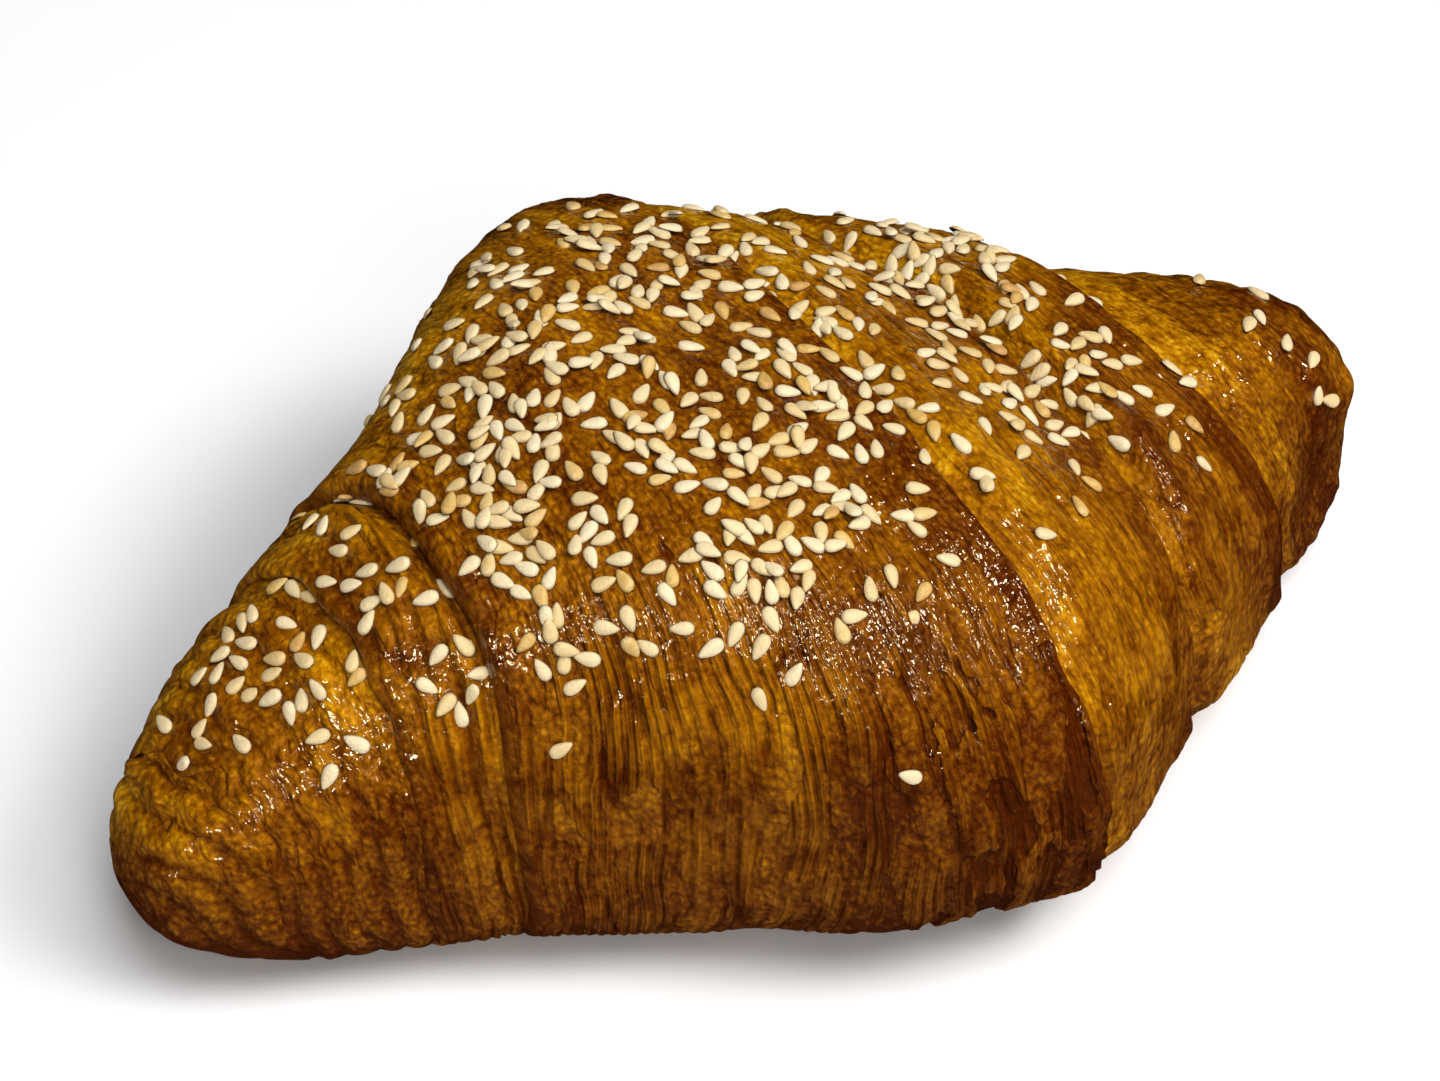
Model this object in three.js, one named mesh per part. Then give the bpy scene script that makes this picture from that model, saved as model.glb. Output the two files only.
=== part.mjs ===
// A straight, fat croissant, glazed with egg wash and topped with sesame seeds.
//
// Millimetres, +Z up. +X runs along the croissant from its blunt end to its slim end, and -Y is its
// front. The croissant lies on its flat underside, and the origin is the middle of that underside.
//
// The crust is one baked piece. It is lofted along X through rounded sections, and the rolled dough
// shows as bands: each band swells towards its free edge and drops there to the next wrap below it.
// Every seed is a small solid of its own that lies just clear of the crust.

import * as THREE from "three";

// ---- Crust: overall shape ----

const HALF_LENGTH = 92;

// How far the crust reaches to the front, to the back and upwards. Each reach runs from its value
// at the blunt or the slim tip to its value at the belly. The belly lies at a share of the half
// length from the middle, and spreads by the shares "before" and "after" towards -X and +X.
const FRONT_REACH = { blunt: 20, slim: 18.5, belly: 61, at: 0.135, before: 0.6, after: 0.45 };
const BACK_REACH = { blunt: 19.5, slim: 17, belly: 61.5, at: -0.02, before: 0.37, after: 0.58 };
const TOP_REACH = { blunt: 34, slim: 37.5, belly: 67, at: -0.21, before: 0.65, after: 0.75 };

// The blunt tip leans this far to the front, and the slim tip this far to the back.
const BLUNT_TIP_LEAN = 4.6;
const SLIM_TIP_LEAN = 3;

// The widest level of a section, as a share of its height.
const WAIST_LEVEL = 0.43;

// Superellipse powers of the section's upper and lower half: 2 is an ellipse, more is squarer.
const UPPER_SQUARENESS = 2.4;
const LOWER_SQUARENESS = 3.6;

// The ends close over the last stretch; a higher power closes them later and squarer.
const BLUNT_TIP_POWER = 6.3;
const SLIM_TIP_POWER = 11.3;

// The dough sags this far into the tray, which leaves the flat underside.
const TRAY_SAG = 1.4;

// ---- Crust: wraps ----

// The free edges of the wraps, from the blunt end to the slim end. Each number is the place of the
// edge along X, as a share of the half length, where it crosses that side of the crust.
const WRAP_EDGES = [
  { front: -0.83, top: -0.9, back: -0.92, under: -0.8 },
  { front: -0.64, top: -0.67, back: -0.74, under: -0.6 },
  { front: -0.53, top: -0.54, back: -0.66, under: -0.5 },
  { front: 0.185, top: 0.1, back: 0.04, under: 0.17 },
  { front: 0.465, top: 0.38, back: 0.21, under: 0.43 },
  { front: 0.735, top: 0.585, back: 0.47, under: 0.68 },
];

// The crust is this much slimmer under the wraps than the reaches above say.
const WRAP_INSET = 3;

// How far each band stands proud, from the blunt end to the slim end.
const BAND_RISE = [1.3, 1.4, 2.5, 3.8, 2.5, 4.7, 1.4];
const MIDDLE_BAND = 3;

// Shares of a band's width: it climbs over the first, droops a little all along, and rounds off
// over the last.
const BAND_CLIMB = 0.32;
const BAND_DROOP = 0.17;
const BAND_LIP = 0.12;
const MIDDLE_LIP = 0.08;

// Wraps fade out below the waist, where the dough was pressed flat on the tray.
const WRAP_FADE_FROM = -0.75;
const WRAP_FADE_TO = -0.2;

// Long soft waves in the crust: height, waves along X and round the section, and phase.
const CRUST_WAVES = [
  { height: 0.7, along: 5.3, round: 2, phase: 0.4 },
  { height: 0.5, along: 9.1, round: 3, phase: 2.1 },
  { height: 0.35, along: 15.7, round: 1, phase: 4.0 },
];

// ---- Crust: mesh ----

// Columns inside a band, as shares of the band's width.
const OUTER_BAND_COLUMNS = [0, 0.12, 0.25, 0.42, 0.62, 0.8, 0.89, 0.95, 0.985];
const MIDDLE_BAND_COLUMNS = [0, 0.01, 0.04, 0.08, 0.2, 0.35, 0.5, 0.65, 0.8, 0.92, 0.96, 0.99];
const TIP_BAND_COLUMNS = [0, 0.12, 0.28, 0.46, 0.64, 0.8, 0.91, 0.975];
const SECTION_POINTS = 40;

// ---- Sesame seeds ----

const SEED_COUNT = 56;
const SEED_LENGTH = 3.15;
const SEED_WIDTH = 1.85;
const SEED_THICKNESS = 0.9;
const SEED_TAPER = 0.3;
const SEED_SIZE_SPREAD = 0.12;
const SEED_CLEARANCE = 0.3;
const SEED_SPACING = 6.5;
const SEED_SIDES = 8;
const SEED_RINGS = 4;

// Where the seeds fell: the place along X, the angle round the section in degrees, how far the
// patch spreads each way, and its share of the seeds.
const SEED_PATCHES = [
  { place: -0.3, angle: 82, along: 0.15, round: 15, share: 0.3 },
  { place: -0.02, angle: 94, along: 0.08, round: 17, share: 0.16 },
  { place: -0.38, angle: 58, along: 0.1, round: 11, share: 0.1 },
  { place: -0.12, angle: 58, along: 0.08, round: 9, share: 0.08 },
  { place: -0.3, angle: 118, along: 0.14, round: 10, share: 0.06 },
  { place: 0.35, angle: 98, along: 0.06, round: 17, share: 0.12 },
  { place: 0.47, angle: 88, along: 0.06, round: 16, share: 0.08 },
  { place: 0.82, angle: 80, along: 0.02, round: 12, share: 0.02 },
  { place: -0.73, angle: 88, along: 0.04, round: 12, share: 0.05 },
  { place: -0.6, angle: 72, along: 0.03, round: 14, share: 0.03 },
];

// Seeds only stay where the crust faces up at least this much.
const SEED_LEAST_UP = 0.4;

// The crust next to a seed may rise this much above the facet it lies on.
const SEED_BED_RISE = 0.08;
const SEED_BED_REACH = 4.5;

// ---- Curves ----

function smoothStep(from, to, x) {
  const t = THREE.MathUtils.clamp((x - from) / (to - from), 0, 1);
  return t * t * (3 - 2 * t);
}

function signedPower(x, power) {
  return Math.sign(x) * Math.abs(x) ** power;
}

// A quarter circle that falls from 1 to 0 as x goes from 0 to 1.
function roundOff(x) {
  return Math.sqrt(1 - THREE.MathUtils.clamp(x, 0, 1) ** 2);
}

function reachAt(reach, place) {
  const isBefore = place < reach.at;
  const tip = isBefore ? reach.blunt : reach.slim;
  const spread = isBefore ? reach.before : reach.after;
  return tip + (reach.belly - tip) * Math.exp(-(((place - reach.at) / spread) ** 2));
}

// The edge's place along X at an angle round the section: 0 is the front and 90 degrees the top.
function edgePlace(edge, angle) {
  const sides = (edge.front + edge.back) / 2;
  const poles = (edge.top + edge.under) / 2;
  return (
    (sides + poles) / 2 +
    ((edge.front - edge.back) / 2) * Math.cos(angle) +
    ((edge.top - edge.under) / 2) * Math.sin(angle) +
    ((sides - poles) / 2) * Math.cos(2 * angle)
  );
}

// ---- Crust ----

// How far a band stands proud at a share of its width, counted from its covered side.
function outerBandRise(share, rise) {
  const lip = roundOff((share - 1 + BAND_LIP) / BAND_LIP);
  return rise * (1 - BAND_DROOP * share) * smoothStep(0, BAND_CLIMB, share) * lip;
}

function middleBandRise(share, rise) {
  const fromEdge = Math.min(share, 1 - share);
  return rise * roundOff(1 - fromEdge / MIDDLE_LIP);
}

function tipBandRise(share, rise) {
  return rise * smoothStep(0, BAND_CLIMB, share);
}

// One column of the crust's mesh: the band it is in and its share of that band, counted along +X.
function crustColumns() {
  const columns = [];
  for (let band = 0; band <= WRAP_EDGES.length; band += 1) {
    const isTip = band === 0 || band === WRAP_EDGES.length;
    if (band === MIDDLE_BAND) {
      MIDDLE_BAND_COLUMNS.forEach((share) => columns.push({ band, share }));
    } else if (band > MIDDLE_BAND) {
      const shares = isTip ? TIP_BAND_COLUMNS : OUTER_BAND_COLUMNS;
      shares.forEach((share) => columns.push({ band, share }));
    } else {
      const shares = isTip ? TIP_BAND_COLUMNS : OUTER_BAND_COLUMNS;
      shares.map((share) => 1 - share).reverse().forEach((share) => columns.push({ band, share }));
    }
  }
  return columns;
}

function bandRise(band, share) {
  const rise = BAND_RISE[band];
  if (band === MIDDLE_BAND) return middleBandRise(share, rise);
  const fromCovered = band < MIDDLE_BAND ? 1 - share : share;
  const isTip = band === 0 || band === WRAP_EDGES.length;
  return isTip ? tipBandRise(fromCovered, rise) : outerBandRise(fromCovered, rise);
}

function columnPlace(column, angle) {
  const from = column.band === 0 ? -1 : edgePlace(WRAP_EDGES[column.band - 1], angle);
  const isLast = column.band === WRAP_EDGES.length;
  const to = isLast ? 1 : edgePlace(WRAP_EDGES[column.band], angle);
  return THREE.MathUtils.lerp(from, to, column.share);
}

function crustWave(place, angle) {
  return CRUST_WAVES.reduce(
    (sum, wave) => sum + wave.height * Math.sin(wave.along * place + wave.round * angle + wave.phase),
    0,
  );
}

// The crust's surface at a place along X and an angle round the section, with the wraps' rise.
function crustPoint(place, angle, rise) {
  const tipPower = place < 0 ? BLUNT_TIP_POWER : SLIM_TIP_POWER;
  const cap = Math.sqrt(1 - Math.min(Math.abs(place), 1) ** tipPower);
  const lean = (place < 0 ? -BLUNT_TIP_LEAN : SLIM_TIP_LEAN) * place ** 2;
  const across = Math.cos(angle);
  const up = Math.sin(angle);
  const height = reachAt(TOP_REACH, place);
  const waist = WAIST_LEVEL * height;
  const side = reachAt(across > 0 ? FRONT_REACH : BACK_REACH, place);
  const proud =
    (rise + crustWave(place, angle)) * smoothStep(WRAP_FADE_FROM, WRAP_FADE_TO, up) - WRAP_INSET;
  const power = 2 / (up >= 0 ? UPPER_SQUARENESS : LOWER_SQUARENESS);
  const lift = up >= 0 ? height - waist + proud : waist;
  const y = lean - cap * (side + proud) * signedPower(across, power);
  const z = waist + cap * lift * signedPower(up, power) - TRAY_SAG;
  return new THREE.Vector3(HALF_LENGTH * place, y, Math.max(z, 0));
}

function crustGeometry() {
  const columns = crustColumns();
  const points = [];
  const placesAndAngles = [];
  columns.forEach((column) => {
    const rise = bandRise(column.band, column.share);
    for (let i = 0; i < SECTION_POINTS; i += 1) {
      const angle = (2 * Math.PI * i) / SECTION_POINTS - Math.PI / 2;
      const place = columnPlace(column, angle);
      points.push(crustPoint(place, angle, rise));
      placesAndAngles.push(place, angle);
    }
  });
  const bluntPole = points.push(crustPoint(-1, 0, 0)) - 1;
  const slimPole = points.push(crustPoint(1, 0, 0)) - 1;
  placesAndAngles.push(-1, 0, 1, 0);

  const triangles = [];
  for (let i = 0; i < SECTION_POINTS; i += 1) {
    const next = (i + 1) % SECTION_POINTS;
    for (let column = 0; column < columns.length - 1; column += 1) {
      const here = column * SECTION_POINTS;
      const beyond = here + SECTION_POINTS;
      triangles.push(here + i, beyond + i, here + next);
      triangles.push(here + next, beyond + i, beyond + next);
    }
    const last = (columns.length - 1) * SECTION_POINTS;
    triangles.push(bluntPole, i, next);
    triangles.push(slimPole, last + next, last + i);
  }
  const geometry = new THREE.BufferGeometry().setFromPoints(points);
  geometry.setIndex(triangles);
  geometry.setAttribute("placeAndAngle", new THREE.Float32BufferAttribute(placesAndAngles, 2));
  geometry.computeVertexNormals();
  return geometry;
}

// ---- Sesame seeds ----

// A repeatable source of random numbers from 0 to 1.
function randomSource(seed) {
  let state = seed;
  return () => {
    state = (state * 1664525 + 1013904223) % 4294967296;
    return state / 4294967296;
  };
}

// A flat drop, blunt at +X and narrower at -X, with its flat sides facing up and down.
function seedGeometry() {
  const geometry = new THREE.SphereGeometry(0.5, SEED_SIDES, SEED_RINGS);
  geometry.rotateZ(-Math.PI / 2);
  const position = geometry.getAttribute("position");
  for (let i = 0; i < position.count; i += 1) {
    const slimness = 1 - SEED_TAPER * (0.5 - position.getX(i));
    position.setY(i, position.getY(i) * slimness);
    position.setZ(i, position.getZ(i) * slimness);
  }
  geometry.scale(SEED_LENGTH, SEED_WIDTH, SEED_THICKNESS);
  geometry.computeVertexNormals();
  return geometry;
}

// How many seeds fell at a place and an angle, relative to other spots of the same size.
function seedDensity(place, angle) {
  const degrees = THREE.MathUtils.radToDeg(angle);
  return SEED_PATCHES.reduce((sum, patch) => {
    const along = (place - patch.place) / patch.along;
    const round = (degrees - patch.angle) / patch.round;
    const peak = patch.share / (patch.along * patch.round);
    return sum + peak * Math.exp(-(along ** 2 + round ** 2) / 2);
  }, 0);
}

// The crust's facets that face up enough to hold a seed, each with its centre, its normal and how
// many seeds fell on it relative to the others.
function seedBeds(crust) {
  const position = crust.getAttribute("position");
  const placeAndAngle = crust.getAttribute("placeAndAngle");
  const index = crust.getIndex();
  const beds = [];
  for (let i = 0; i < index.count; i += 3) {
    const corners = [0, 1, 2].map((k) => index.getX(i + k));
    const points = corners.map((corner) => new THREE.Vector3().fromBufferAttribute(position, corner));
    const facet = new THREE.Triangle(...points);
    const normal = facet.getNormal(new THREE.Vector3());
    if (normal.z > SEED_LEAST_UP) {
      const place = corners.reduce((sum, corner) => sum + placeAndAngle.getX(corner), 0) / 3;
      const angle = corners.reduce((sum, corner) => sum + placeAndAngle.getY(corner), 0) / 3;
      const centre = facet.getMidpoint(new THREE.Vector3());
      beds.push({ centre, normal, weight: facet.getArea() * seedDensity(place, angle) });
    }
  }
  return beds;
}

// Whether the crust round a bed stays below the plane that the seed lies on.
function isOpenBed(bed, crustPoints) {
  return crustPoints.every((point) => {
    const offset = point.clone().sub(bed.centre);
    return offset.length() > SEED_BED_REACH || offset.dot(bed.normal) < SEED_BED_RISE;
  });
}

function chooseSeedBeds(crust) {
  const random = randomSource(11);
  const position = crust.getAttribute("position");
  const crustPoints = [];
  for (let i = 0; i < position.count; i += 1) {
    crustPoints.push(new THREE.Vector3().fromBufferAttribute(position, i));
  }
  const beds = seedBeds(crust);
  const heaviest = Math.max(...beds.map((bed) => bed.weight));
  const chosen = [];
  while (chosen.length < SEED_COUNT) {
    const bed = beds[Math.floor(random() * beds.length)];
    const isClear = chosen.every((other) => other.centre.distanceTo(bed.centre) > SEED_SPACING);
    const isHit = random() < bed.weight / heaviest;
    if (isHit && isClear && isOpenBed(bed, crustPoints)) chosen.push(bed);
  }
  return chosen.map((bed) => ({
    ...bed,
    turn: random() * 2 * Math.PI,
    size: 1 + SEED_SIZE_SPREAD * (random() - 0.5),
  }));
}

function seedMesh(bed, number, geometry, material) {
  const seed = new THREE.Mesh(geometry, material);
  seed.name = "sesame_seed_" + String(number).padStart(2, "0");
  seed.quaternion
    .setFromUnitVectors(new THREE.Vector3(0, 0, 1), bed.normal)
    .multiply(new THREE.Quaternion().setFromAxisAngle(new THREE.Vector3(0, 0, 1), bed.turn));
  seed.scale.setScalar(bed.size);
  const lift = (SEED_THICKNESS * bed.size) / 2 + SEED_CLEARANCE;
  seed.position.copy(bed.centre).addScaledVector(bed.normal, lift);
  return seed;
}

// ---- The croissant ----

const crustMaterial = new THREE.MeshStandardMaterial({
  color: 0x9a5a16,
  roughness: 0.35,
  metalness: 0,
});
const seedMaterial = new THREE.MeshStandardMaterial({
  color: 0xe9d9ac,
  roughness: 0.55,
  metalness: 0,
});

const croissant = new THREE.Group();

const crust = new THREE.Mesh(crustGeometry(), crustMaterial);
crust.name = "croissant_body";
croissant.add(crust);

const seedShape = seedGeometry();
chooseSeedBeds(crust.geometry).forEach((bed, i) => {
  croissant.add(seedMesh(bed, i + 1, seedShape, seedMaterial));
});

const extent = new THREE.Box3().setFromObject(croissant);
const middle = extent.getCenter(new THREE.Vector3());
croissant.position.set(-middle.x, -middle.y, -extent.min.z);

export default croissant;
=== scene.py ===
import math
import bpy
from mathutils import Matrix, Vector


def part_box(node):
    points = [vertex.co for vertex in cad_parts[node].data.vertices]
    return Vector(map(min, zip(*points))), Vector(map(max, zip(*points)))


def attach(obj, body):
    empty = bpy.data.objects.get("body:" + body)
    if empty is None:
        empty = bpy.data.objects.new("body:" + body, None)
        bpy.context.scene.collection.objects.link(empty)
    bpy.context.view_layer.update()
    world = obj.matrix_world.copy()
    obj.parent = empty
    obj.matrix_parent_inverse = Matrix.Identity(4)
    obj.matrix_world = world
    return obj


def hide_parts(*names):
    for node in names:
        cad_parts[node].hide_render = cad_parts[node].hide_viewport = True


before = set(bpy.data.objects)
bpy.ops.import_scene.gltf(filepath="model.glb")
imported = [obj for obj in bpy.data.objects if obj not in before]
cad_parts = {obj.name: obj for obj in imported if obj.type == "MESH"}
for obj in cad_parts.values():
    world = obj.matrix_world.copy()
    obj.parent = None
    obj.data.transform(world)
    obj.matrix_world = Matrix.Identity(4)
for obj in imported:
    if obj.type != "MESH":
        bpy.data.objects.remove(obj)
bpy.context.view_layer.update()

# A straight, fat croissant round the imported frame: a flaky, egg-washed crust and its sesame seeds.
#
# The crust and the seeds are worked out in millimetres, in the frame's axes: +X runs along the
# croissant to its slim end, -Y is its front and +Z is up. Meshes are made in metres. A place is a
# share of the half length along X, from -1 at the blunt tip to 1 at the slim one. An angle goes
# round the section: 0 is the front, 90 degrees the top and 180 degrees the back.

from types import SimpleNamespace

import bpy
import numpy as np
from mathutils import Vector

MM = 0.001
BODY = "croissant_body"

# ---- Crust: overall shape, as in croissant_body ----

BODY_LOW, BODY_HIGH = (np.array(corner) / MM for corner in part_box(BODY))
HALF_LENGTH = (BODY_HIGH[0] - BODY_LOW[0]) / 2

# Each reach runs from its value at the blunt or slim tip to its value at the belly. The belly lies
# at a place and spreads by shares towards -X and +X.
FRONT_REACH = dict(blunt=20, slim=18.5, belly=61, at=0.135, before=0.6, after=0.45)
BACK_REACH = dict(blunt=19.5, slim=17, belly=61.5, at=-0.02, before=0.37, after=0.58)
TOP_REACH = dict(blunt=34, slim=37.5, belly=67, at=-0.21, before=0.65, after=0.75)
BLUNT_TIP_LEAN = 4.6
SLIM_TIP_LEAN = 3
WAIST_LEVEL = 0.43
MEAN_HEIGHT = 45
UPPER_SQUARENESS = 2.4
LOWER_SQUARENESS = 3.6
BLUNT_TIP_POWER = 6.3
SLIM_TIP_POWER = 11.3
TRAY_SAG = 1.4

# The wraps' free edges: their places where they cross each side, and which way each edge faces.
WRAP_EDGES = [
    dict(front=-0.83, top=-0.9, back=-0.92, under=-0.8, faces=-1),
    dict(front=-0.64, top=-0.67, back=-0.74, under=-0.6, faces=-1),
    dict(front=-0.53, top=-0.54, back=-0.66, under=-0.5, faces=-1),
    dict(front=0.185, top=0.1, back=0.04, under=0.17, faces=1),
    dict(front=0.465, top=0.38, back=0.21, under=0.43, faces=1),
    dict(front=0.735, top=0.585, back=0.47, under=0.68, faces=1),
]
MIDDLE_BAND = 3
LAST_BAND = len(WRAP_EDGES)
WRAP_INSET = 3
BAND_RISE = [1.3, 1.4, 2.5, 3.8, 2.5, 4.7, 1.4]
BAND_CLIMB = 0.32
BAND_DROOP = 0.17
WRAP_FADE = (-0.75, -0.2)

# On the blunt side's front the wraps have baked together, so their steps are filled.
FRONT_FILL = 0.75
FRONT_FILL_ANGLES = (0.4, 0.8)

# Long waves in the crust: height, turns along X, turns round the section, phase.
CRUST_WAVES = [(0.7, 5.3, 2, 0.4), (0.5, 9.1, 3, 2.1), (0.35, 15.7, 1, 4.0)]

# A free edge is a rounded nose of dough that hangs over the band beside it.
NOSE_REACH = 0.9
NOSE_BACK = 0.35
NOSE_COLUMNS = 8
EDGE_WOBBLE = 0.9
EDGE_WOBBLE_TURNS = 3.2

# ---- Crust: layers, band by band ----

LAYER_WIDTH = [4.4, 3.4, 2.1, 1.3, 1.6, 1.8, 4.0]
THREADS_PER_LAYER = 2.4
LAYER_LEAN = 9.0
FLAKINESS = [0.12, 0.28, 0.8, 1.0, 0.6, 0.65, 0.22]
LUMPINESS = [1.0, 0.6, 0.15, 0.0, 0.0, 0.0, 0.35]
UNDERSIDE_LEVEL = 0.6

# ---- Crust: finish ----

# Tone over each band, from its covered side (0) to its free edge (1). The middle band runs to +X.
BAND_TONES = [
    [(0, 0.5), (0.5, 0.5), (0.85, 0.46), (1, 0.36)],
    [(0, 0.5), (0.4, 0.48), (0.8, 0.46), (1, 0.36)],
    [(0, 0.38), (0.3, 0.52), (0.7, 0.5), (1, 0.36)],
    [
        (0, 0.3), (0.05, 0.4), (0.15, 0.46), (0.4, 0.5), (0.6, 0.42),
        (0.75, 0.38), (0.88, 0.32), (0.95, 0.22), (1, 0.14),
    ],
    [(0, 0.68), (0.1, 0.69), (0.25, 0.64), (0.7, 0.56), (0.88, 0.45), (1, 0.3)],
    [(0, 0.66), (0.2, 0.64), (0.5, 0.5), (0.75, 0.38), (0.9, 0.24), (1, 0.14)],
    [(0, 0.72), (0.15, 0.66), (0.4, 0.5), (0.7, 0.36), (1, 0.34)],
]
MIDDLE_TOP_TONE = 0.42
UNDERSIDE_TONE = 0.3

# How much darker the noses are than their bands.
NOSE_TONES = np.array([0.15, 0.15, 0.25, 0.55, 0.35, 0.5, 0.5])

# Spots on the crust: place, angle in degrees, spread each way, and then a change of tone, an amount
# of glaze, or a height in millimetres.
# Some darker tone spots are painted shade: low on the middle band's front and under the blunt tip.
TONE_AND_SHADE_PATCHES = [
    # Painted shade: the middle band's low front is darker.
    (-0.02, 8, 0.16, 30, -0.12),
    (0.17, 4, 0.05, 18, 0.12),
    (0.62, 85, 0.1, 30, 0.12),
    (0.87, 50, 0.07, 40, -0.1),
    (-0.75, 45, 0.12, 20, 0.06),
    (-0.3, 50, 0.08, 14, -0.06),
    (0.5, 54, 0.035, 32, -0.28),
    (0.92, 28, 0.05, 25, -0.18),
    (-0.87, 110, 0.09, 20, 0.26),
    (-0.38, 122, 0.1, 16, 0.3),
    (0.5, 108, 0.04, 12, 0.34),
    # Painted shadow under the blunt tip, where it meets the floor.
    (-0.85, -30, 0.12, 12, -0.15),
    (0.7, -22, 0.05, 14, 0.26),
    (-0.68, 105, 0.05, 20, 0.12),
    (0.72, 45, 0.05, 40, -0.1),
    (0.82, 5, 0.08, 35, -0.1),
    (-0.15, 13, 0.07, 14, -0.12),
    (-0.7, 68, 0.04, 16, 0.27),
    # Painted shadow: more of it under the blunt tip.
    (-0.9, -30, 0.12, 16, -0.36),
    (0.6, -15, 0.06, 14, 0.24),
    (0.2, 15, 0.07, 30, -0.13),
    (0.19, 60, 0.04, 10, -0.15),
    (0.53, 52, 0.05, 25, -0.13),
    (-0.3, 72, 0.06, 18, -0.1),
    (0.66, -20, 0.09, 18, 0.26),
    (0.7, 52, 0.04, 12, -0.13),
    (0.2, -12, 0.12, 10, 0.18),
    (-0.1, 35, 0.05, 30, -0.11),
    (-0.5, 38, 0.05, 14, -0.1),
    (0.5, 60, 0.03, 10, -0.1),
]
GLAZE_POOLS = [
    (0.15, 30, 0.03, 14, 0.9),
    (0.11, 75, 0.03, 14, 0.9),
    (-0.05, 42, 0.07, 13, 0.9),
    (-0.2, 40, 0.04, 9, 0.8),
    (-0.67, 34, 0.045, 14, 1.0),
    (0.14, 50, 0.04, 16, 1.0),
    (0.32, 62, 0.03, 9, 0.9),
    (-0.42, 52, 0.04, 9, 0.9),
    (0.82, 70, 0.05, 14, 0.8),
]
CRUST_BUMPS = [
    (0.93, 88, 0.06, 20, 0.6),
    (0.96, 50, 0.05, 34, 1.4),
    (0.88, 5, 0.08, 28, -1.8),
    (0.31, 0, 0.1, 25, -1.6),
    (0.21, 0, 0.03, 20, 1.0),
    (0.1, -18, 0.12, 14, -2.2),
    (-0.3, 120, 0.14, 22, 1.4),
]

# Colour by tone, from the red brown of gaps, partly painted shade, to pale gold.
CRUST_COLOURS = [
    (0.0, (0.072, 0.011, 0.0)),
    (0.2, (0.118, 0.027, 0.0)),
    (0.4, (0.19, 0.056, 0.0)),
    (0.6, (0.295, 0.103, 0.0)),
    (0.8, (0.435, 0.18, 0.0)),
    (1.0, (0.6, 0.305, 0.008)),
]
LAYER_BUMP = 0.001
FOAM_BUMP = 0.0009

# ---- Crust: mesh ----

BAND_COLUMNS = [50, 48, 44, 250, 84, 84, 50]
UPPER_ROWS = 128
UNDER_ROWS = 20

# ---- Seeds: sizes, places and colours ----

SEED_LENGTH = 3.15
SEED_WIDTH = 1.85
SEED_THICKNESS = 0.9
SEED_SINK = 0.18
SEED_SIDES = 14
SEED_RINGS = 9
GLAZE_RIM = 0.24
GLAZE_RIM_HEIGHT = 0.12

# Where the seeds fell: place, angle in degrees, how far the patch spreads each way, and how many
# seeds it holds.
SEED_PATCHES = [
    (-0.86, 82, 0.02, 12, 5),
    (-0.75, 84, 0.03, 12, 20),
    (-0.74, 46, 0.02, 8, 3),
    (-0.65, 85, 0.03, 12, 14),
    (-0.55, 86, 0.03, 20, 22),
    (-0.58, 45, 0.02, 12, 3),
    (-0.45, 82, 0.033, 20, 62),
    (-0.35, 83, 0.033, 18, 48),
    (-0.25, 82, 0.033, 20, 64),
    (-0.15, 76, 0.033, 20, 64),
    (-0.05, 90, 0.033, 20, 70),
    (0.05, 91, 0.03, 18, 50),
    (0.15, 95, 0.03, 17, 36),
    (0.25, 102, 0.03, 18, 25),
    (0.35, 96, 0.03, 17, 64),
    (0.45, 96, 0.03, 17, 47),
    (0.55, 86, 0.03, 16, 16),
    (0.64, 82, 0.01, 5, 2),
    (0.85, 80, 0.03, 12, 6),
    (0.9, 40, 0.02, 8, 2),
]
TRIES_PER_SEED = 40
SEED_SIZES = (0.88, 1.05)
SEED_JITTER = 0.3
SEED_TILT = 0.06
STEEPEST_UP = 0.05
CLUMP_SIZE = 7
CLUMP_LEVELS = (-0.6, 0.3)

# A seed may touch others a little. In a full patch, some lie on top of the others.
TOUCH_DEPTH = 0.1
PILE_SHARE = 0.24
PILE_DEPTH = 0.6
PILE_TOUCHING = 4
PILE_COUNT = 20
PILE_LIFT = 0.55
PILE_TILT = 4

SEED_COLOURS = [
    (0.0, (0.72, 0.61, 0.40)),
    (0.45, (0.68, 0.54, 0.31)),
    (0.82, (0.62, 0.45, 0.20)),
    (0.93, (0.58, 0.37, 0.10)),
    (1.0, (0.48, 0.26, 0.08)),
]
# The seeds' foot colour: partly browned glaze, partly painted contact shadow that outlines each seed.
SEED_FOOT_GLAZE_AND_SHADE_COLOUR = (0.06, 0.012, 0.001, 1)

# ---- Stage: sizes in metres, power in watts ----

TARGET = (0, 0, 0.03)
CAMERA_AZIMUTH = math.radians(-28)
CAMERA_ELEVATION = math.radians(42.66)
CAMERA_DISTANCE = 0.62
CAMERA_LENS = 118.9
CAMERA_SHIFT = -0.0213
FLOOR_REACH = 3.0
FLOOR_LEVEL = -0.0003
FLOOR_COLOUR = (0.96, 0.97, 1.0, 1)
WORLD_LIGHT = 0.14

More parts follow.
